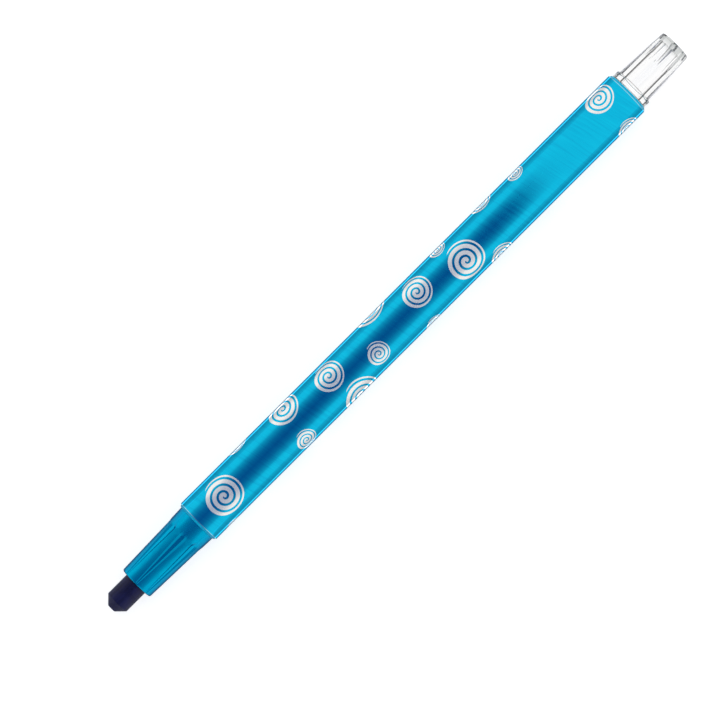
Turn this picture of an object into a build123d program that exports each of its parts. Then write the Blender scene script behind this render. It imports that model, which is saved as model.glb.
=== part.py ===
import os
from math import atan2, cos, pi, radians, sin, tan

from build123d import *

# Twist crayon lying along X, its writing tip towards +X and its knob towards -X.
# The origin is on the axis, halfway along the barrel. All sizes are in millimetres.

# Clearances
press_gap = 0.02
running_gap = 0.05
sliding_gap = 0.10
passing_gap = 0.18
end_gap = 0.15
stop_gap = 0.40

# Crayon
crayon_diameter = 4.8
crayon_length = 64.0
tip_flat_diameter = 1.65
tip_bevel_length = 1.6
tip_edge_radius = 0.18
tip_out = 6.5
tip_hidden = 1.0

# Crayon cup
cup_wall = 0.50
cup_depth = 6.0
cup_floor = 1.0
cup_tube_depth = 4.0
cup_slit_width = 0.5
cup_slit_length = 4.5
cup_slit_count = 4

# Barrel tube with guide rails inside
barrel_length = 112.5
tube_wall = 0.78
tube_rim_radius = 0.50
rail_count = 2
rail_height = 0.60
rail_width = 1.2

# Printed film round the barrel
film_thickness = 0.15
film_inset = 0.50

# Nose
nose_length = 15.8
nose_front_wall = 0.96
nose_step = 0.59
nose_edge_radius = 0.35
nose_guide_length = 12.6
nose_guide_gap = 0.15
nose_mouth_chamfer = 0.12
nose_spigot_length = 7.0
nose_flute_count = 8
nose_flute_land = 2.6
nose_flute_depth = 0.30
nose_flute_floor = 0.74
nose_flute_front_depth = 0.05
nose_flute_front_floor = 0.14
nose_flute_wall_slope = 25.0

# Rear bush
bush_length = 6.0
bush_wall = 0.73

# Twist knob
knob_reach = 12.3
knob_collar_step = 0.55
knob_collar_length = 1.43
knob_collar_edge = 0.22
knob_ledge = 0.36
knob_draft = 2.9
knob_end_edge = 0.35
knob_end_wall = 1.3
knob_neck_wall = 0.80
knob_bead_height = 0.25
knob_bead_width = 1.0
knob_slot_width = 1.0
knob_slot_length = 3.5
knob_slot_count = 2
knob_flute_count = 8
knob_flute_length = 5.2
knob_flute_depth = 0.42
knob_flute_angle = 90.0
knob_flute_turn = 4.0

# Drive screw
screw_lead = 5.0
screw_root_diameter = 2.0
screw_rib_height = 0.60
screw_rib_root_width = 1.6
screw_rib_crest_width = 1.0
screw_rib_sink = 0.15
screw_thread_inset = 1.2
screw_point_chamfer = 0.35
screw_plug_length = 6.0
screw_flange_length = 0.8
screw_wing_length = 2.5

# Carrier nut
nut_peg_count = 3
nut_peg_length = 1.2
nut_peg_sink = 0.3
nut_land = 0.15
nut_tube_depth = 3.0
nut_edge_chamfer = 0.3
thread_gap = 0.15

# Push tube
push_tube_wall = 0.55

# Radii from the crayon outwards
crayon_radius = crayon_diameter / 2
cup_radius = crayon_radius + press_gap + cup_wall
rail_radius = cup_radius + passing_gap
bore_radius = rail_radius + rail_height
tube_radius = bore_radius + tube_wall
film_bore_radius = tube_radius + press_gap
film_radius = film_bore_radius + film_thickness

# Radii of the screw, and of the tube that runs over it
screw_root_radius = screw_root_diameter / 2
screw_crest_radius = screw_root_radius + screw_rib_height
push_tube_bore = screw_crest_radius + passing_gap
push_tube_radius = push_tube_bore + push_tube_wall

# Pegs in the nut that ride between the turns of the screw's rib, leaning with the rib
peg_lean = atan2(screw_lead, 2 * pi * screw_root_radius)
peg_width = (screw_lead - screw_rib_root_width) * cos(peg_lean) - 2 * thread_gap
peg_span = nut_peg_length * sin(peg_lean) + peg_width * cos(peg_lean)
peg_step = screw_lead / nut_peg_count
nut_thread_length = (nut_peg_count - 1) * peg_step + peg_span + 2 * nut_land

# Radii from the barrel's bore inwards to the knob's neck
seat_radius = bore_radius - press_gap
bush_bore = seat_radius - bush_wall
neck_radius = bush_bore - running_gap
cavity_radius = neck_radius - knob_neck_wall
bead_radius = neck_radius + knob_bead_height

# Stations along the axis, from the front of the barrel to the crayon
barrel_front = barrel_length / 2
barrel_rear = -barrel_length / 2
nose_front = barrel_front + nose_length
nose_guide_rear = nose_front - nose_guide_length
nose_rear = barrel_front - nose_spigot_length
crayon_tip = nose_front + tip_out
crayon_rear = crayon_tip - crayon_length
cup_front = crayon_rear + cup_depth
cup_seat = crayon_rear - cup_floor
cup_rear = cup_seat - cup_tube_depth

# Stations along the axis, from the back of the barrel to the nut
retract_travel = tip_out + tip_hidden
bush_front = barrel_rear + bush_length
bead_rear = bush_front + end_gap
neck_front = bead_rear + knob_bead_width
flange_front = neck_front + screw_flange_length
nut_rear = flange_front + stop_gap + retract_travel
nut_seat = nut_rear + nut_thread_length
nut_front = nut_seat + nut_tube_depth
screw_front = cup_seat - retract_travel - stop_gap
thread_rear = flange_front + screw_thread_inset
thread_front = screw_front - screw_thread_inset
extend_travel = nose_guide_rear - stop_gap - cup_front

# Stations along the axis, behind the barrel
collar_front = barrel_rear - end_gap
collar_rear = barrel_rear - knob_collar_length
knob_end = barrel_rear - knob_reach
cavity_end = knob_end + knob_end_wall


def turned_section(*corners):
    # half section in the XZ plane, to be turned about the axis
    with BuildSketch(Plane.XZ) as section:
        with BuildLine():
            Polyline(*corners, close=True)
        make_face()
    return section.sketch


def vee_flute(deep_end, deep_radius, shallow_end, shallow_radius, opening):
    # straight V groove above the axis: its root line runs from the deep end to the shallow end
    rise = max(deep_radius, shallow_radius)
    half_width = rise * tan(radians(opening / 2))
    run = Vector(shallow_end - deep_end, 0, shallow_radius - deep_radius)
    root = (0, deep_radius)
    top = deep_radius + rise
    with BuildPart() as flute:
        with BuildSketch(Plane.YZ.offset(deep_end)):
            with BuildLine():
                Polyline(root, (half_width, top), (-half_width, top), close=True)
            make_face()
        extrude(amount=run.length, dir=run.normalized())
    return flute.part


def trough_flute(deep_end, front_end, wall_slope):
    # flat-floored groove above the axis, rounded behind its deep end like half of a cut cone;
    # each end is given by its station, the radius at its floor and the floor's width
    rise = deep_end[1]
    flare = rise / tan(radians(wall_slope))
    with BuildPart() as flute:
        for station, floor_radius, floor_width in (deep_end, front_end):
            floor_edge = floor_width / 2
            wall_edge = floor_edge + flare
            with BuildSketch(Plane.YZ.offset(station)):
                with BuildLine():
                    Polyline(
                        (-floor_edge, floor_radius),
                        (floor_edge, floor_radius),
                        (wall_edge, floor_radius + rise),
                        (-wall_edge, floor_radius + rise),
                        close=True,
                    )
                make_face()
        loft(ruled=True)
        station, floor_radius, floor_width = deep_end
        with BuildSketch(Plane.YZ.offset(station)):
            with BuildLine():
                Polyline(
                    (0, floor_radius),
                    (floor_width / 2, floor_radius),
                    (floor_width / 2 + flare, floor_radius + rise),
                    (0, floor_radius + rise),
                    close=True,
                )
            make_face()
        revolve(axis=Axis((station, 0, 0), (0, 0, 1)), revolution_arc=180)
    return flute.part


def helical_rib():
    # right-hand rib along the screw, its first turn centred above the axis
    root = screw_root_radius - screw_rib_sink
    with BuildLine() as path:
        Helix(
            screw_lead, thread_front - thread_rear, root, center=(thread_rear, 0, 0), direction=(1, 0, 0)
        )
    section = turned_section(
        (thread_rear - screw_rib_root_width / 2, root),
        (thread_rear - screw_rib_crest_width / 2, screw_crest_radius),
        (thread_rear + screw_rib_crest_width / 2, screw_crest_radius),
        (thread_rear + screw_rib_root_width / 2, root),
    )
    with BuildPart() as rib:
        sweep(section, path=path.line, is_frenet=True)
    return rib.part


def thread_peg(station):
    # peg above the axis, its sides parallel to the screw's rib
    peg_foot = screw_root_radius + thread_gap
    peg_height = push_tube_bore + nut_peg_sink - peg_foot
    peg_plane = Plane((station, 0, peg_foot), x_dir=(sin(peg_lean), -cos(peg_lean), 0))
    with BuildPart() as peg:
        with BuildSketch(peg_plane):
            Rectangle(nut_peg_length, peg_width)
        extrude(amount=peg_height)
    return peg.part


# Barrel tube: a straight tube, with two rails inside between the bush and the nose
with BuildPart() as barrel_tube:
    with BuildSketch(Plane.YZ.offset(barrel_rear)):
        Circle(tube_radius)
        Circle(bore_radius, mode=Mode.SUBTRACT)
    extrude(amount=barrel_length)
    rims = barrel_tube.edges().filter_by(GeomType.CIRCLE).group_by(SortBy.RADIUS)[-1]
    fillet(rims, tube_rim_radius)
    rail_rear = neck_front + end_gap
    rail_root = rail_height + tube_wall / 2
    with BuildSketch(Plane.YZ.offset(rail_rear)):
        with PolarLocations(rail_radius + rail_root / 2, rail_count):
            Rectangle(rail_root, rail_width)
    extrude(amount=nose_rear - end_gap - rail_rear)
barrel_tube.part.label = "barrel_tube"
export_step(barrel_tube.part, "parts/barrel_tube.step")

# Printed film: a thin sleeve that stops a little short of both ends of the tube
with BuildPart() as printed_wrap:
    with BuildSketch(Plane.YZ.offset(barrel_rear + film_inset)):
        Circle(film_radius)
        Circle(film_bore_radius, mode=Mode.SUBTRACT)
    extrude(amount=barrel_length - 2 * film_inset)
printed_wrap.part.label = "printed_wrap"
export_step(printed_wrap.part, "parts/printed_wrap.step")

# Nose: a tapered grip in front of the barrel and a thin spigot inside it, with a guide bore
# for the crayon, a wider bore that lets the cup come forward, and long pointed flutes outside
guide_radius = crayon_radius + nose_guide_gap
nose_front_radius = guide_radius + nose_front_wall
nose_rear_radius = film_radius - nose_step
nose_slope = (nose_rear_radius - nose_front_radius) / nose_length
with BuildPart() as nose_cone:
    section = turned_section(
        (nose_rear, rail_radius),
        (nose_rear, seat_radius),
        (barrel_front, seat_radius),
        (barrel_front, nose_rear_radius),
        (nose_front, nose_front_radius),
        (nose_front, guide_radius),
        (nose_guide_rear, guide_radius),
        (nose_guide_rear, rail_radius),
    )
    revolve(section, axis=Axis.X)
    front_rims = nose_cone.faces().sort_by(Axis.X)[-1].edges().sort_by(SortBy.RADIUS)
    fillet(front_rims[-1], nose_edge_radius)
    chamfer(front_rims[0], nose_mouth_chamfer)
    flute_end_reach = nose_flute_floor / 2 + nose_flute_depth / tan(radians(nose_flute_wall_slope))
    flute_rear = barrel_front + nose_flute_land + flute_end_reach
    flute_front = nose_front + nose_edge_radius
    nose_flute = trough_flute(
        (
            flute_rear,
            nose_front_radius + nose_slope * (nose_front - flute_rear) - nose_flute_depth,
            nose_flute_floor,
        ),
        (
            flute_front,
            nose_front_radius + nose_slope * (nose_front - flute_front) - nose_flute_front_depth,
            nose_flute_front_floor,
        ),
        nose_flute_wall_slope,
    )
    for turn in range(nose_flute_count):
        add(nose_flute.rotate(Axis.X, turn * 360 / nose_flute_count), mode=Mode.SUBTRACT)
nose_cone.part.label = "nose_cone"
export_step(nose_cone.part, "parts/nose_cone.step")

# Rear bush: a plain bearing ring, flush with the back of the barrel
with BuildPart() as rear_bush:
    with BuildSketch(Plane.YZ.offset(barrel_rear)):
        Circle(seat_radius)
        Circle(bush_bore, mode=Mode.SUBTRACT)
    extrude(amount=bush_length)
rear_bush.part.label = "rear_bush"
export_step(rear_bush.part, "parts/rear_bush.step")

# Twist knob: a collar behind the barrel, a tapered hollow grip fluted at its end, and a split
# neck whose bead snaps in front of the bush
collar_radius = film_radius - knob_collar_step
grip_front_radius = collar_radius - knob_ledge
grip_length = knob_reach - knob_collar_length
grip_slope = tan(radians(knob_draft))
grip_end_radius = grip_front_radius - grip_length * grip_slope
with BuildPart() as twist_knob:
    section = turned_section(
        (neck_front, cavity_radius),
        (neck_front, neck_radius),
        (bead_rear, bead_radius),
        (bead_rear, neck_radius),
        (collar_front, neck_radius),
        (collar_front, collar_radius),
        (collar_rear, collar_radius),
        (collar_rear, grip_front_radius),
        (knob_end, grip_end_radius),
        (knob_end, 0),
        (cavity_end, 0),
        (cavity_end, cavity_radius),
    )
    revolve(section, axis=Axis.X)
    collar_rims = twist_knob.edges().filter_by(GeomType.CIRCLE).group_by(SortBy.RADIUS)[-1]
    fillet(collar_rims.sort_by(Axis.X)[0], min(knob_collar_edge, 0.9 * knob_ledge))
    fillet(twist_knob.faces().sort_by(Axis.X)[0].edges(), knob_end_edge)
    flute_front = knob_end + knob_flute_length
    knob_flute = vee_flute(
        knob_end,
        grip_end_radius - knob_flute_depth,
        flute_front,
        grip_end_radius + knob_flute_length * grip_slope,
        knob_flute_angle,
    )
    for turn in range(knob_flute_count):
        add(knob_flute.rotate(Axis.X, knob_flute_turn + turn * 360 / knob_flute_count), mode=Mode.SUBTRACT)
    with BuildSketch(Plane.YZ.offset(neck_front)):
        with PolarLocations(bead_radius, knob_slot_count):
            Rectangle(2 * bead_radius, knob_slot_width)
    extrude(amount=-knob_slot_length, mode=Mode.SUBTRACT)
twist_knob.part.label = "twist_knob"
export_step(twist_knob.part, "parts/twist_knob.step")

# Drive screw: a plug in the knob's neck with wings in the neck's slots, a flange against the
# neck's end, and a long core with one right-hand helical rib
plug_radius = cavity_radius - press_gap
wing_radius = neck_radius - press_gap
with BuildPart() as drive_screw:
    section = turned_section(
        (neck_front - screw_plug_length, 0),
        (neck_front - screw_plug_length, plug_radius),
        (neck_front, plug_radius),
        (neck_front, neck_radius),
        (flange_front, neck_radius),
        (flange_front, screw_root_radius),
        (screw_front - screw_point_chamfer, screw_root_radius),
        (screw_front, screw_root_radius - screw_point_chamfer),
        (screw_front, 0),
    )
    revolve(section, axis=Axis.X)
    with BuildSketch(Plane.YZ.offset(neck_front)):
        with PolarLocations(wing_radius / 2, knob_slot_count):
            Rectangle(wing_radius, knob_slot_width - 2 * press_gap)
    extrude(amount=-screw_wing_length)
    add(helical_rib())
drive_screw.part.label = "drive_screw"
export_step(drive_screw.part, "parts/drive_screw.step")

# Carrier nut: a short round block notched over the rails, with pegs in its bore that follow
# the screw's rib and a socket in front for the push tube
with BuildPart() as carrier_nut:
    section = turned_section(
        (nut_rear, push_tube_bore),
        (nut_rear, bore_radius - sliding_gap),
        (nut_front, bore_radius - sliding_gap),
        (nut_front, push_tube_radius + press_gap),
        (nut_seat, push_tube_radius + press_gap),
        (nut_seat, push_tube_bore),
    )
    revolve(section, axis=Axis.X)
    rims = carrier_nut.edges().filter_by(GeomType.CIRCLE).group_by(SortBy.RADIUS)[-1]
    chamfer(rims, nut_edge_chamfer)
    with BuildSketch(Plane.YZ.offset(nut_rear)):
        with PolarLocations(rail_radius - sliding_gap + rail_height, rail_count):
            Rectangle(2 * rail_height, rail_width + 2 * sliding_gap)
    extrude(amount=nut_front - nut_rear, mode=Mode.SUBTRACT)
    for count in range(nut_peg_count):
        station = nut_rear + nut_land + peg_span / 2 + count * peg_step
        turns_from_rib = (station - thread_rear) / screw_lead + 0.5
        add(thread_peg(station).rotate(Axis.X, 360 * turns_from_rib))
carrier_nut.part.label = "carrier_nut"
export_step(carrier_nut.part, "parts/carrier_nut.step")

# Push tube: from the nut's socket to the back of the crayon cup, clear of the screw inside it
with BuildPart() as push_tube:
    with BuildSketch(Plane.YZ.offset(nut_seat)):
        Circle(push_tube_radius)
        Circle(push_tube_bore, mode=Mode.SUBTRACT)
    extrude(amount=cup_seat - nut_seat)
push_tube.part.label = "push_tube"
export_step(push_tube.part, "parts/push_tube.step")

# Crayon cup: a floor with a socket on each side, slit in front into fingers that grip the crayon
with BuildPart() as crayon_cup:
    section = turned_section(
        (cup_rear, push_tube_radius + press_gap),
        (cup_rear, cup_radius),
        (cup_front, cup_radius),
        (cup_front, crayon_radius + press_gap),
        (crayon_rear, crayon_radius + press_gap),
        (crayon_rear, 0),
        (cup_seat, 0),
        (cup_seat, push_tube_radius + press_gap),
    )
    revolve(section, axis=Axis.X)
    with BuildSketch(Plane.YZ.offset(cup_front)):
        with PolarLocations(cup_radius, cup_slit_count, start_angle=180 / cup_slit_count):
            Rectangle(2 * cup_wall, cup_slit_width)
    extrude(amount=-cup_slit_length, mode=Mode.SUBTRACT)
crayon_cup.part.label = "crayon_cup"
export_step(crayon_cup.part, "parts/crayon_cup.step")

# Crayon: a plain round stick of wax with a bevelled, flat tip
tip_flat_radius = tip_flat_diameter / 2
with BuildPart() as crayon:
    section = turned_section(
        (crayon_rear, 0),
        (crayon_rear, crayon_radius),
        (crayon_tip - tip_bevel_length, crayon_radius),
        (crayon_tip, tip_flat_radius),
        (crayon_tip, 0),
    )
    revolve(section, axis=Axis.X)
    tip_rims = crayon.edges().filter_by(GeomType.CIRCLE).sort_by(Axis.X)[-2:]
    fillet(tip_rims, tip_edge_radius)
crayon.part.label = "crayon"
export_step(crayon.part, "parts/crayon.step")

print(f"barrel diameter {2 * film_radius:.2f}, overall length {crayon_tip - knob_end:.2f}")
print(f"travel back {retract_travel:.2f}, forward {extend_travel:.2f}, lead {screw_lead:.2f}")
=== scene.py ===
from math import cos, pi, radians, sin, sqrt

import bmesh
import bpy
from mathutils import Matrix, Vector


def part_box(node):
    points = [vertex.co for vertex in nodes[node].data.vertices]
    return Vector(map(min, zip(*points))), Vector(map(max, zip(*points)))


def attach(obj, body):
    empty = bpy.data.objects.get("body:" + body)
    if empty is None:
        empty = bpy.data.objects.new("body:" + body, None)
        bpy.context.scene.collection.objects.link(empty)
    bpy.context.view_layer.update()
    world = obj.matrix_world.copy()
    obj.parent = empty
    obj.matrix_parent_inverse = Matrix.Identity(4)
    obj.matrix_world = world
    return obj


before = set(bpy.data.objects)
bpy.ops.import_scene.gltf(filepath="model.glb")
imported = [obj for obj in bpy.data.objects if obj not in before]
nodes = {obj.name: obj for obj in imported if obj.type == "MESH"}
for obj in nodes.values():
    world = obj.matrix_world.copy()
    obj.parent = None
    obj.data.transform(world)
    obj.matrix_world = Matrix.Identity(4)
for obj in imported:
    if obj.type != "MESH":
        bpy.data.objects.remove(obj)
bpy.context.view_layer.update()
mm = 0.001
noiseSpan = (0.3, 0.7)  # nearly all of a noise's values lie between these


def linear(hexColour):
    # sRGB hex to the linear colour that the sockets take
    parts = [int(hexColour[i:i + 2], 16) / 255 for i in (1, 3, 5)]
    return [p / 12.92 if p <= 0.04045 else ((p + 0.055) / 1.055) ** 2.4 for p in parts] + [1.0]


def greyStops(levels):
    # stops of a ramp in plain greys, from places and levels in rising order
    endsFirst = [levels[0], levels[-1], *levels[1:-1]]
    return [(place, (level, level, level, 1)) for place, level in endsFirst]


def addNode(tree, kind, inputs=None, stops=(), **settings):
    # a node with its settings; an input is a plain value or another node's output, and stops are
    # the positions and colours of a ramp, with its two ends first
    # in a colour mix input 0 is the factor, 6 and 7 are the colours, and output 2 is the result
    made = tree.nodes.new(kind)
    for name, value in settings.items():
        setattr(made, name, value)
    for name, value in (inputs or {}).items():
        if isinstance(value, bpy.types.NodeSocket):
            tree.links.new(value, made.inputs[name])
        else:
            made.inputs[name].default_value = value
    for count, (position, colour) in enumerate(stops):
        ramp = made.color_ramp.elements
        stop = ramp[count] if count < 2 else ramp.new(position)
        stop.position, stop.color = position, colour
    return made


def newMaterial(name):
    material = bpy.data.materials.new(name)
    material.use_nodes = True
    material.node_tree.nodes.clear()
    return material, material.node_tree


def dress(names, material):
    for name in names:
        nodes[name].material_slots[0].material = material


# Polyester film, metallised and inked blue, wound round the barrel.
# To the eye: a mirror-like blue with faint lines across the barrel from the web's rolling.
film = {
    "radius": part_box("printed_wrap")[1][1],
    "deeper": "#00AFD8",
    "blue": "#00B8DF",
    "paler": "#02BDE2",
    "shadeAt": (0.30, 0.50, 0.72),  # noise values that these three stand at
    "edge": "#5FD8F4",  # tint of the reflection at a glancing angle
    "lacquer": 0.12,
    "lacquerRoughness": 0.03,
    "paleEnd": "#9FDCEF",  # a narrow paler band at each end of the film
    "margin": (55.62 * mm, 55.68 * mm),
    "roughness": (0.03, 0.06),
    "lineWidth": 0.45 * mm,  # the real lines are finer, drawn coarse enough to show
    "lineLength": 9.0 * mm,
    "lean": radians(-12),
}
filmMaterial, tree = newMaterial("polyester film, metallised and inked blue")
coords = addNode(tree, "ShaderNodeTexCoord")
axes = addNode(tree, "ShaderNodeSeparateXYZ", {0: coords.outputs["Object"]})
turned = addNode(tree, "ShaderNodeMath", {
    0: axes.outputs["Y"], 1: axes.outputs["Z"],
}, operation="ARCTAN2")
arc = addNode(tree, "ShaderNodeMath", {0: turned.outputs[0], 1: film["radius"]}, operation="MULTIPLY")
flat = addNode(tree, "ShaderNodeCombineXYZ", {"X": axes.outputs["X"], "Y": arc.outputs[0]})
leaned = addNode(tree, "ShaderNodeMapping", {
    "Vector": flat.outputs[0], "Rotation": (0, 0, film["lean"]),
})
lines = addNode(tree, "ShaderNodeMapping", {
    "Vector": leaned.outputs[0],
    "Scale": (1 / film["lineWidth"], 1 / film["lineLength"], 1),
})
grain = addNode(tree, "ShaderNodeTexNoise", {"Vector": lines.outputs[0], "Scale": 1.0, "Detail": 3.0})
low, middle, high = film["shadeAt"]
shade = addNode(tree, "ShaderNodeValToRGB", {"Fac": grain.outputs["Fac"]}, stops=[
    (low, linear(film["deeper"])), (high, linear(film["paler"])), (middle, linear(film["blue"])),
])
fromMiddle = addNode(tree, "ShaderNodeMath", {0: axes.outputs["X"]}, operation="ABSOLUTE")
edge = addNode(tree, "ShaderNodeMapRange", {
    "Value": fromMiddle.outputs[0], "From Min": film["margin"][0], "From Max": film["margin"][1],
})
inked = addNode(tree, "ShaderNodeMix", {
    0: edge.outputs["Result"], 6: shade.outputs["Color"], 7: linear(film["paleEnd"]),
}, data_type="RGBA")
dull = addNode(tree, "ShaderNodeMapRange", {
    "Value": grain.outputs["Fac"], "To Min": film["roughness"][0], "To Max": film["roughness"][1],
})
surface = addNode(tree, "ShaderNodeBsdfPrincipled", {
    "Base Color": inked.outputs[2],
    "Metallic": 1.0,
    "Roughness": dull.outputs["Result"],
    "Specular Tint": linear(film["edge"]),
    "Coat Weight": film["lacquer"],
    "Coat Roughness": film["lacquerRoughness"],
})
addNode(tree, "ShaderNodeOutputMaterial", {"Surface": surface.outputs[0]})
dress(["printed_wrap"], filmMaterial)
print("film dressed")

# Aluminium flake ink, screen printed on the film.
# To the eye: bright soft silver with a fine sparkle in its grain.
silverInk = {
    "darker": "#F6F1EB",
    "silver": "#FFFCF6",
    "shadeAt": (0.25, 0.60),  # noise values that these two stand at
    "metallic": 0.60,
    "roughness": 0.12,
    "flake": 0.25 * mm,  # real flakes are far finer, drawn as coarse as the render can show
}
inkMaterial, tree = newMaterial("aluminium flake ink, screen printed")
coords = addNode(tree, "ShaderNodeTexCoord")
fine = addNode(tree, "ShaderNodeMapping", {
    "Vector": coords.outputs["Object"], "Scale": [1 / silverInk["flake"]] * 3,
})
flakes = addNode(tree, "ShaderNodeTexNoise", {"Vector": fine.outputs[0], "Scale": 1.0, "Detail": 2.0})
low, high = silverInk["shadeAt"]
shade = addNode(tree, "ShaderNodeValToRGB", {"Fac": flakes.outputs["Fac"]}, stops=[
    (low, linear(silverInk["darker"])), (high, linear(silverInk["silver"])),
])
surface = addNode(tree, "ShaderNodeBsdfPrincipled", {
    "Base Color": shade.outputs["Color"],
    "Metallic": silverInk["metallic"],
    "Roughness": silverInk["roughness"],
})
addNode(tree, "ShaderNodeOutputMaterial", {"Surface": surface.outputs[0]})

# Spirals on the wrap: one motif, scattered in several sizes.
# A place is X in mm, the angle round the barrel from its top in degrees, and the radius in mm.
spirals = {
    "places": [
        (48.9, -1.3, 3.85), (30.15, -54, 3.40), (30.95, 46.6, 2.17), (19.85, -27.5, 3.08),
        (17.75, 72, 3.90), (10.4, 19.3, 2.30), (6.35, -90, 3.65), (-2.55, -21, 3.08),
        (-10.65, -68.7, 1.86), (-13.1, 8.7, 3.78), (-0.9, 79.7, 1.85), (-18.75, 75, 2.63),
        (-22.3, -83, 2.50), (-30.75, -64, 1.78), (-51.3, -42, 3.09), (-51.5, 73.8, 2.33),
        (51.5, 95, 2.1), (51.0, 240, 2.0), (41.0, 270, 2.4), (44.0, 150, 3.6), (36.0, 205, 2.2),
        (29.0, 128, 2.3), (24.0, 190, 3.7), (12.0, 230, 2.3), (9.0, 150, 3.4), (-3.0, 190, 3.0),
        (-9.0, 135, 2.2), (-16.0, 225, 3.7), (-24.0, 165, 3.2), (-33.0, 210, 2.4), (-36.0, 140, 3.0),
        (-44.0, 180, 3.6), (-50.0, 235, 2.3),
    ],
    "pitch": 0.326,  # this and the next four are shares of a spiral's radius
    "band": 0.201,
    "thinBand": 0.088,
    "eyeAlong": 0.025,
    "eyeRound": 0.06,
    "eyeTurns": 0.48,  # this and the next four are counted in turns
    "turns": 3.44,
    "thinFrom": 2.55,
    "thinBy": 3.00,
    "tailTurns": 0.10,
    "startAngle": radians(40),
    "steps": 46,  # in one turn
    "across": 4,
    "proud": 0.006 * mm,
    "thickness": 0.020 * mm,
    "weld": 0.0015 * mm,  # points closer than this become one
    "sliver": 0.001 * mm,  # edges shorter than this go
    "crease": radians(40),
}


def smooth(low, high, value):
    share = min(1.0, max(0.0, (value - low) / (high - low)))
    return share * share * (3 - 2 * share)


def bandEdges(turns):
    # inner and outer edge of the band at this point of its winding, as shares of the radius
    middle = spirals["pitch"] * turns
    inner = middle - spirals["band"] / 2 if turns > 1 - spirals["eyeTurns"] else 0.0
    if turns < 0:
        outer = spirals["band"] / 2 * (1 + turns / spirals["eyeTurns"])
    else:
        thin = smooth(spirals["thinFrom"], spirals["thinBy"], turns)
        width = spirals["band"] + (spirals["thinBand"] - spirals["band"]) * thin
        tail = (spirals["turns"] - turns) / spirals["tailTurns"]
        outer = middle - spirals["band"] / 2 + width * sqrt(min(1.0, max(0.0, tail)))
    return inner, outer


def printSpirals():
    shape = bmesh.new()
    top = film["radius"] + spirals["proud"]
    bottom = top - spirals["thickness"]
    winding = spirals["turns"] + spirals["eyeTurns"]
    count = int(winding * spirals["steps"])
    for along, angle, reachMm in spirals["places"]:
        size = reachMm * mm
        eyeX = along * mm + spirals["eyeAlong"] * size
        eyeArc = radians(angle) * film["radius"] + spirals["eyeRound"] * size
        rows = []
        for step in range(count + 1):
            turns = winding * step / count - spirals["eyeTurns"]
            inner, outer = bandEdges(turns)
            heading = spirals["startAngle"] - 2 * pi * turns
            row = []
            for column in range(spirals["across"] + 1):
                reach = (inner + (outer - inner) * column / spirals["across"]) * size
                roundBy = (eyeArc + reach * sin(heading)) / film["radius"]
                x = eyeX - reach * cos(heading)
                row.append(shape.verts.new((x, bottom * sin(roundBy), bottom * cos(roundBy))))
            rows.append(row)
        for rowA, rowB in zip(rows, rows[1:]):
            for k in range(spirals["across"]):
                shape.faces.new((rowA[k], rowB[k], rowB[k + 1], rowA[k + 1]))
    bmesh.ops.remove_doubles(shape, verts=shape.verts, dist=spirals["weld"])
    bmesh.ops.dissolve_degenerate(shape, edges=shape.edges, dist=spirals["sliver"])
    raised = bmesh.ops.extrude_face_region(shape, geom=shape.faces[:], use_keep_orig=True)["geom"]
    for corner in raised:
        if isinstance(corner, bmesh.types.BMVert):
            corner.co.yz *= top / bottom
    bmesh.ops.recalc_face_normals(shape, faces=shape.faces)
    for face in shape.faces:
        face.smooth = True
    for edge in shape.edges:
        edge.smooth = edge.calc_face_angle(0) < spirals["crease"]
    mesh = bpy.data.meshes.new("spiral_print")
    shape.to_mesh(mesh)
    shape.free()
    piece = bpy.data.objects.new("spiral_print", mesh)
    bpy.context.scene.collection.objects.link(piece)
    piece.data.materials.append(inkMaterial)
    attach(piece, "barrel")
    return piece


spiralPrint = printSpirals()
print("spirals printed:", len(spirals["places"]), "with", len(spiralPrint.data.polygons), "faces")

# Polypropylene, extruded and dyed blue: the tube, which shows only at the film's two ends.
# To the eye: an even blue with a soft shine and faint drawing lines along the tube.
tubePlastic = {
    "deeper": "#00AED4",
    "blue": "#00BADF",
    "roughness": 0.28,
    "ior": 1.49,
    "specular": 0.2,
    "lineWidth": 0.3 * mm,
    "lineLength": 15.0 * mm,
}
tubeMaterial, tree = newMaterial("polypropylene, extruded blue")
coords = addNode(tree, "ShaderNodeTexCoord")
acrossLines = 1 / tubePlastic["lineWidth"]
drawn = addNode(tree, "ShaderNodeMapping", {
    "Vector": coords.outputs["Object"],
    "Scale": (1 / tubePlastic["lineLength"], acrossLines, acrossLines),
})
grain = addNode(tree, "ShaderNodeTexNoise", {"Vector": drawn.outputs[0], "Scale": 1.0, "Detail": 2.0})
shade = addNode(tree, "ShaderNodeValToRGB", {"Fac": grain.outputs["Fac"]}, stops=[
    (noiseSpan[0], linear(tubePlastic["deeper"])), (noiseSpan[1], linear(tubePlastic["blue"])),
])
surface = addNode(tree, "ShaderNodeBsdfPrincipled", {
    "Base Color": shade.outputs["Color"],
    "Roughness": tubePlastic["roughness"],
    "IOR": tubePlastic["ior"],
    "Specular IOR Level": tubePlastic["specular"],
})
addNode(tree, "ShaderNodeOutputMaterial", {"Surface": surface.outputs[0]})
dress(["barrel_tube"], tubeMaterial)

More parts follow.
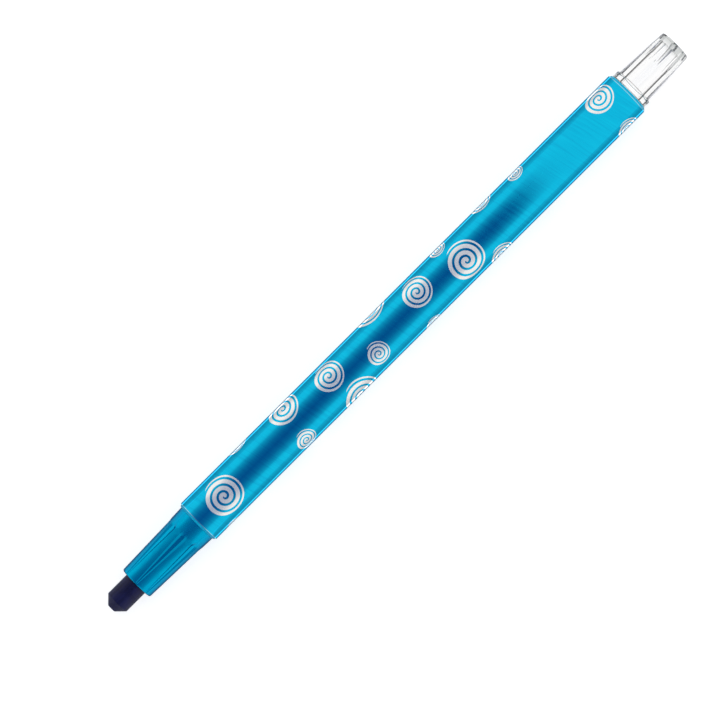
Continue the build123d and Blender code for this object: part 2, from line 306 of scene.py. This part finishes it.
# Polypropylene with pearl pigment, injection moulded and tinted blue: the nose.
# To the eye: a glossy pearly skin over half clear blue, so that the flutes stand out as bright
# and dark lines and the crayon inside makes the middle a shade darker.
nosePlastic = {
    "deeper": "#00ABD8",
    "blue": "#00B6E0",
    "edge": "#006A98",  # tint of the reflection at a glancing angle
    "skin": (2.75 * mm, 2.95 * mm),  # inside this radius is the bore, clear and without pearl
    "pearl": 0.72,
    "transmission": 0.60,
    "roughness": 0.08,
    "ior": 1.49,
    "specular": 0.05,
    "flowWidth": 1.6 * mm,  # of the faint flow marks from moulding
    "flowLength": 6.4 * mm,
}
noseMaterial, tree = newMaterial("pearl polypropylene, moulded blue")
coords = addNode(tree, "ShaderNodeTexCoord")
acrossFlow = 1 / nosePlastic["flowWidth"]
flowing = addNode(tree, "ShaderNodeMapping", {
    "Vector": coords.outputs["Object"],
    "Scale": (1 / nosePlastic["flowLength"], acrossFlow, acrossFlow),
})
grain = addNode(tree, "ShaderNodeTexNoise", {"Vector": flowing.outputs[0], "Scale": 1.0, "Detail": 2.0})
shade = addNode(tree, "ShaderNodeValToRGB", {"Fac": grain.outputs["Fac"]}, stops=[
    (noiseSpan[0], linear(nosePlastic["deeper"])), (noiseSpan[1], linear(nosePlastic["blue"])),
])
axes = addNode(tree, "ShaderNodeSeparateXYZ", {0: coords.outputs["Object"]})
section = addNode(tree, "ShaderNodeCombineXYZ", {"Y": axes.outputs["Y"], "Z": axes.outputs["Z"]})
reach = addNode(tree, "ShaderNodeVectorMath", {0: section.outputs[0]}, operation="LENGTH")
boreReach, skinReach = nosePlastic["skin"]
clear = addNode(tree, "ShaderNodeMapRange", {
    "Value": reach.outputs["Value"], "From Min": boreReach, "From Max": skinReach,
    "To Min": 1.0, "To Max": nosePlastic["transmission"],
})
pearl = addNode(tree, "ShaderNodeMapRange", {
    "Value": reach.outputs["Value"], "From Min": boreReach, "From Max": skinReach,
    "To Max": nosePlastic["pearl"],
})
surface = addNode(tree, "ShaderNodeBsdfPrincipled", {
    "Base Color": shade.outputs["Color"],
    "Metallic": pearl.outputs["Result"],
    "Roughness": nosePlastic["roughness"],
    "IOR": nosePlastic["ior"],
    "Specular IOR Level": nosePlastic["specular"],
    "Specular Tint": linear(nosePlastic["edge"]),
    "Transmission Weight": clear.outputs["Result"],
})
addNode(tree, "ShaderNodeOutputMaterial", {"Surface": surface.outputs[0]})
dress(["nose_cone"], noseMaterial)

# Acrylic, injection moulded: the knob.
# To the eye: water clear outside and satin in its hollow; painted grey shade makes it greyer towards
# its closed end and in the flutes there.
knobPlastic = {
    "clear": "#FFFFFF",
    # grey of the painted shade towards the closed end
    "endShade": "#D3D6D5",
    "flute": "#C4C7C6",
    "endShadeFrom": (66.6 * mm, 68.4 * mm),  # behind the barrel's middle
    "cone": (57.68 * mm, 3.74 * mm, 0.0507),  # front end of the grip, radius there and slope
    "fluteAt": (0.32 * mm, 0.30 * mm),  # middle and half of the flutes' depth under the cone
    "fluteFrom": 63.2 * mm,  # behind the barrel's middle
    "hollow": (2.2 * mm, 2.5 * mm),  # inside these radii the surface is the hollow's
    "satin": 0.05,
    "roughness": (0.01, 0.03),
    "ior": 1.49,
    "flow": 2.0 * mm,  # spacing of the faint flow marks from moulding
}
knobMaterial, tree = newMaterial("acrylic, moulded clear")
coords = addNode(tree, "ShaderNodeTexCoord")
flowing = addNode(tree, "ShaderNodeMapping", {
    "Vector": coords.outputs["Object"], "Scale": [1 / knobPlastic["flow"]] * 3,
})
grain = addNode(tree, "ShaderNodeTexNoise", {"Vector": flowing.outputs[0], "Scale": 1.0, "Detail": 2.0})
polish = addNode(tree, "ShaderNodeMapRange", {
    "Value": grain.outputs["Fac"],
    "To Min": knobPlastic["roughness"][0], "To Max": knobPlastic["roughness"][1],
})
axes = addNode(tree, "ShaderNodeSeparateXYZ", {0: coords.outputs["Object"]})
section = addNode(tree, "ShaderNodeCombineXYZ", {"Y": axes.outputs["Y"], "Z": axes.outputs["Z"]})
reach = addNode(tree, "ShaderNodeVectorMath", {0: section.outputs[0]}, operation="LENGTH")
dull = addNode(tree, "ShaderNodeMapRange", {
    "Value": reach.outputs["Value"],
    "From Min": knobPlastic["hollow"][0], "From Max": knobPlastic["hollow"][1],
    "To Min": knobPlastic["satin"], "To Max": polish.outputs["Result"],
})
# painted shade: the clear colour turns grey towards the closed end
endShade = addNode(tree, "ShaderNodeMapRange", {
    "Value": axes.outputs["X"],
    "From Min": -knobPlastic["endShadeFrom"][0], "From Max": -knobPlastic["endShadeFrom"][1],
})
unfluted = addNode(tree, "ShaderNodeMix", {
    0: endShade.outputs["Result"], 6: linear(knobPlastic["clear"]), 7: linear(knobPlastic["endShade"]),
}, data_type="RGBA")
coneFront, coneRadius, coneSlope = knobPlastic["cone"]
cone = addNode(tree, "ShaderNodeMath", {
    0: axes.outputs["X"], 1: coneSlope, 2: coneRadius + coneSlope * coneFront,
}, operation="MULTIPLY_ADD")
depth = addNode(tree, "ShaderNodeMath", {
    0: cone.outputs[0], 1: reach.outputs["Value"],
}, operation="SUBTRACT")
# painted shade: behind fluteFrom the flutes are tinted grey where they sink under the cone
sunk = addNode(tree, "ShaderNodeMath", {
    0: depth.outputs[0], 1: knobPlastic["fluteAt"][0], 2: knobPlastic["fluteAt"][1],
}, operation="COMPARE")
rear = addNode(tree, "ShaderNodeMath", {
    0: axes.outputs["X"], 1: -knobPlastic["fluteFrom"],
}, operation="LESS_THAN")
fluted = addNode(tree, "ShaderNodeMath", {0: sunk.outputs[0], 1: rear.outputs[0]}, operation="MULTIPLY")
shade = addNode(tree, "ShaderNodeMix", {
    0: fluted.outputs[0], 6: unfluted.outputs[2], 7: linear(knobPlastic["flute"]),
}, data_type="RGBA")
surface = addNode(tree, "ShaderNodeBsdfPrincipled", {
    "Base Color": shade.outputs[2],
    "Roughness": dull.outputs["Result"],
    "IOR": knobPlastic["ior"],
    "Transmission Weight": 1.0,
})
addNode(tree, "ShaderNodeOutputMaterial", {"Surface": surface.outputs[0]})
dress(["twist_knob"], knobMaterial)

# Acetal, injection moulded in its natural white: the working parts inside the barrel.
# To the eye: a slightly warm milky white with a satin skin.
acetal = {
    "warmer": "#E6E3DA",
    "white": "#EEECE5",
    "roughness": 0.36,
    "ior": 1.48,
    "mottle": 1.2 * mm,
    "milkiness": 0.15,
    "milkDepth": 0.4 * mm,
}
acetalMaterial, tree = newMaterial("acetal, moulded natural white")
coords = addNode(tree, "ShaderNodeTexCoord")
spread = addNode(tree, "ShaderNodeMapping", {
    "Vector": coords.outputs["Object"], "Scale": [1 / acetal["mottle"]] * 3,
})
grain = addNode(tree, "ShaderNodeTexNoise", {"Vector": spread.outputs[0], "Scale": 1.0, "Detail": 3.0})
shade = addNode(tree, "ShaderNodeValToRGB", {"Fac": grain.outputs["Fac"]}, stops=[
    (noiseSpan[0], linear(acetal["warmer"])), (noiseSpan[1], linear(acetal["white"])),
])
surface = addNode(tree, "ShaderNodeBsdfPrincipled", {
    "Base Color": shade.outputs["Color"],
    "Roughness": acetal["roughness"],
    "IOR": acetal["ior"],
    "Subsurface Weight": acetal["milkiness"],
    "Subsurface Scale": acetal["milkDepth"],
})
addNode(tree, "ShaderNodeOutputMaterial", {"Surface": surface.outputs[0]})
dress(["rear_bush", "drive_screw", "carrier_nut", "push_tube", "crayon_cup"], acetalMaterial)

# Pigmented wax, extruded: the crayon.
# To the eye: deep navy with a soft broad sheen, faint drawing lines and a slightly cloudy skin.
wax = {
    "deep": "#0C0C30",
    "navy": "#11133E",
    "bloom": "#1A1D4E",
    "shadeAt": (0.12, 0.25, 0.42),  # noise values that these three stand at
    "roughness": (0.22, 0.34),
    "ior": 1.44,
    "specular": 0.24,
    "lineWidth": 0.35 * mm,
    "lineLength": 7.0 * mm,
    "cloud": 2.2 * mm,
    "bump": 0.06,
    "bumpDepth": 0.05 * mm,
}
waxMaterial, tree = newMaterial("pigmented wax, extruded")
coords = addNode(tree, "ShaderNodeTexCoord")
acrossLines = 1 / wax["lineWidth"]
drawn = addNode(tree, "ShaderNodeMapping", {
    "Vector": coords.outputs["Object"],
    "Scale": (1 / wax["lineLength"], acrossLines, acrossLines),
})
streaks = addNode(tree, "ShaderNodeTexNoise", {"Vector": drawn.outputs[0], "Scale": 1.0, "Detail": 3.0})
spread = addNode(tree, "ShaderNodeMapping", {
    "Vector": coords.outputs["Object"], "Scale": [1 / wax["cloud"]] * 3,
})
clouds = addNode(tree, "ShaderNodeTexNoise", {"Vector": spread.outputs[0], "Scale": 1.0, "Detail": 4.0})
mixed = addNode(tree, "ShaderNodeMath", {
    0: streaks.outputs["Fac"], 1: clouds.outputs["Fac"],
}, operation="MULTIPLY")
low, middle, high = wax["shadeAt"]
shade = addNode(tree, "ShaderNodeValToRGB", {"Fac": mixed.outputs[0]}, stops=[
    (low, linear(wax["deep"])), (high, linear(wax["bloom"])), (middle, linear(wax["navy"])),
])
dull = addNode(tree, "ShaderNodeMapRange", {
    "Value": clouds.outputs["Fac"], "To Min": wax["roughness"][0], "To Max": wax["roughness"][1],
})
bump = addNode(tree, "ShaderNodeBump", {
    "Height": streaks.outputs["Fac"], "Strength": wax["bump"], "Distance": wax["bumpDepth"],
})
surface = addNode(tree, "ShaderNodeBsdfPrincipled", {
    "Base Color": shade.outputs["Color"],
    "Roughness": dull.outputs["Result"],
    "IOR": wax["ior"],
    "Specular IOR Level": wax["specular"],
    "Normal": bump.outputs[0],
})
addNode(tree, "ShaderNodeOutputMaterial", {"Surface": surface.outputs[0]})
dress(["crayon"], waxMaterial)
print("plastics and wax dressed")

# Floor: a pale board that keeps a soft shadow. The camera sees it near white; reflections see a painted
# glow on it: painted shade close to the barrel but for a narrow glowing strip, more even beside the
# nose.
# The lists beside the barrel and the nose go by the distance from the axis, as a share of mirrorReach.
floor = {
    "size": 4.0,
    "gap": 0.02 * mm,  # under the barrel
    "pale": "#C6C6C6",
    "roughness": 0.9,
    "glow": 0.69,
    "mirrorReach": 60 * mm,
    "paintedBesideBarrel": [(0.0, 0.10), (0.143, 0.10), (0.158, 1.7), (0.185, 1.7), (0.20, 0.08),
                     (0.30, 0.13), (0.37, 0.17), (0.75, 0.27), (1.0, 0.33)],
    "paintedBesideNose": [(0.0, 0.06), (0.14, 0.06), (0.20, 0.42), (1.0, 0.60)],
    "noseFrom": (56.3 * mm, 57.5 * mm),  # before the barrel's middle
}
half = floor["size"] / 2
height = -film["radius"] - floor["gap"]
corners = [(-half, -half, height), (half, -half, height), (half, half, height), (-half, half, height)]
mesh = bpy.data.meshes.new("floor")
mesh.from_pydata(corners, [], [(0, 1, 2, 3)])
floorBoard = bpy.data.objects.new("floor", mesh)
bpy.context.scene.collection.objects.link(floorBoard)
floorMaterial, tree = newMaterial("painted board, matt pale")
path = addNode(tree, "ShaderNodeLightPath")
coords = addNode(tree, "ShaderNodeTexCoord")
axes = addNode(tree, "ShaderNodeSeparateXYZ", {0: coords.outputs["Object"]})
aside = addNode(tree, "ShaderNodeMath", {0: axes.outputs["Y"]}, operation="ABSOLUTE")
share = addNode(tree, "ShaderNodeMath", {
    0: aside.outputs[0], 1: floor["mirrorReach"],
}, operation="DIVIDE")
paintedBesideBarrel = addNode(tree, "ShaderNodeValToRGB", {"Fac": share.outputs[0]},
                       stops=greyStops(floor["paintedBesideBarrel"]))
paintedBesideNose = addNode(tree, "ShaderNodeValToRGB", {"Fac": share.outputs[0]},
                     stops=greyStops(floor["paintedBesideNose"]))
atNose = addNode(tree, "ShaderNodeMapRange", {
    "Value": axes.outputs["X"], "From Min": floor["noseFrom"][0], "From Max": floor["noseFrom"][1],
})
beside = addNode(tree, "ShaderNodeMix", {
    0: atNose.outputs["Result"], 6: paintedBesideBarrel.outputs["Color"], 7: paintedBesideNose.outputs["Color"],
}, data_type="RGBA")
# painted reflection: a glow that only reflections see, with painted shade near the axis and a glowing
# strip
paintedMirrorGlow = addNode(tree, "ShaderNodeMath", {
    0: path.outputs["Is Glossy Ray"], 1: beside.outputs[2],
}, operation="MULTIPLY")
glow = addNode(tree, "ShaderNodeMath", {
    0: path.outputs["Is Camera Ray"], 1: floor["glow"], 2: paintedMirrorGlow.outputs[0],
}, operation="MULTIPLY_ADD")
surface = addNode(tree, "ShaderNodeBsdfPrincipled", {
    "Base Color": linear(floor["pale"]),
    "Roughness": floor["roughness"],
    "Specular IOR Level": 0.0,
    "Emission Color": (1, 1, 1, 1),
    "Emission Strength": glow.outputs[0],
})
addNode(tree, "ShaderNodeOutputMaterial", {"Surface": surface.outputs[0]})
mesh.materials.append(floorMaterial)
floorBoard.visible_transmission = False

# Room: white all round, with a dark blue panel overhead that stands in the film as a dark band, and
# a dark ring low down that only clear plastic sees, as grey lines along its edges.
# The ring goes by a direction's part downwards and the panel's rear edge by its part along X. Across,
# the panel goes by the angle from straight overhead, as a share of a right angle.
room = {
    "ring": [(0.0, 1.0), (0.36, 1.0), (0.45, 0.10), (0.68, 0.10), (0.72, 1.0), (1.0, 1.0)],
    "white": (1.0, 1.0, 1.0, 1.0),
    "panel": (0.09, 0.150, 0.330, 1.0),
    "panelRear": (-0.051, -0.042),
    "panelAcross": [(0.0, 1.0), (0.18, 0.93), (0.28, 0.86), (0.39, 0.72), (0.50, 0.55),
                    (0.56, 0.42), (0.61, 0.20), (0.69, 0.05), (0.78, 0.0)],
}
world = bpy.data.worlds.new("white room")
bpy.context.scene.world = world
world.use_nodes = True
tree = world.node_tree
tree.nodes.clear()
coords = addNode(tree, "ShaderNodeTexCoord")
axes = addNode(tree, "ShaderNodeSeparateXYZ", {0: coords.outputs["Generated"]})
aside = addNode(tree, "ShaderNodeMath", {0: axes.outputs["Y"]}, operation="ABSOLUTE")
lean = addNode(tree, "ShaderNodeMath", {
    0: aside.outputs[0], 1: axes.outputs["Z"],
}, operation="ARCTAN2")
share = addNode(tree, "ShaderNodeMath", {0: lean.outputs[0], 1: pi / 2}, operation="DIVIDE")
across = addNode(tree, "ShaderNodeValToRGB", {"Fac": share.outputs[0]},
                 stops=greyStops(room["panelAcross"]))
rear = addNode(tree, "ShaderNodeMapRange", {
    "Value": axes.outputs["X"], "From Min": room["panelRear"][0], "From Max": room["panelRear"][1],
}, interpolation_type="SMOOTHSTEP")
panel = addNode(tree, "ShaderNodeMath", {
    0: rear.outputs[0], 1: across.outputs["Color"],
}, operation="MULTIPLY")
tone = addNode(tree, "ShaderNodeValToRGB", {"Fac": panel.outputs[0]}, stops=[
    (0.0, room["white"]), (1.0, room["panel"]),
])
downward = addNode(tree, "ShaderNodeMath", {0: axes.outputs["Z"], 1: -1.0}, operation="MULTIPLY")
ring = addNode(tree, "ShaderNodeValToRGB", {"Fac": downward.outputs[0]}, stops=greyStops(room["ring"]))
shown = addNode(tree, "ShaderNodeMix", {
    0: 1.0, 6: tone.outputs["Color"], 7: ring.outputs["Color"],
}, data_type="RGBA", blend_type="MULTIPLY")
lit = addNode(tree, "ShaderNodeBackground", {"Color": shown.outputs[2], "Strength": 1.0})
plain = addNode(tree, "ShaderNodeBackground", {"Color": room["white"], "Strength": 1.0})
path = addNode(tree, "ShaderNodeLightPath")
both = addNode(tree, "ShaderNodeMixShader", {
    0: path.outputs["Is Camera Ray"], 1: lit.outputs[0], 2: plain.outputs[0],
})
addNode(tree, "ShaderNodeOutputWorld", {"Surface": both.outputs[0]})

# Softbox: gives the matt surfaces a little more light from above and the shadow its direction.
softbox = {"size": 0.9, "height": 1.3, "offset": (-0.25, -0.30), "power": 2.4}
lamp = bpy.data.lights.new("softbox", "AREA")
lamp.shape = "SQUARE"
lamp.size = softbox["size"]
lamp.energy = softbox["power"]
lampObject = bpy.data.objects.new("softbox", lamp)
lampObject.location = (*softbox["offset"], softbox["height"])
lampObject.rotation_mode = "QUATERNION"
lampObject.rotation_quaternion = Vector(lampObject.location).to_track_quat("Z", "Y")
lampObject.visible_glossy = False
bpy.context.scene.collection.objects.link(lampObject)

# Camera: straight above, turned so that the crayon lies from lower left to upper right.
view = {
    "along": 13.70 * mm,
    "height": 0.95,
    "across": 132.84 * mm,  # width of the picture at the axis
    "right": (-0.7076, 0.7066),  # direction of the picture's right side
    "sensor": 36.0,
    "farEnd": 20.0,
}
camera = bpy.data.cameras.new("camera")
camera.sensor_width = view["sensor"]
camera.lens = view["sensor"] * view["height"] / view["across"]
camera.clip_end = view["farEnd"]
cameraObject = bpy.data.objects.new("camera", camera)
rightX, rightY = view["right"]
cameraObject.matrix_world = Matrix((
    (rightX, -rightY, 0, view["along"]),
    (rightY, rightX, 0, 0),
    (0, 0, 1, view["height"]),
    (0, 0, 0, 1),
))
bpy.context.scene.collection.objects.link(cameraObject)
bpy.context.scene.camera = cameraObject
bpy.context.scene.view_settings.view_transform = "Standard"
print("room, floor, lamp and camera set")
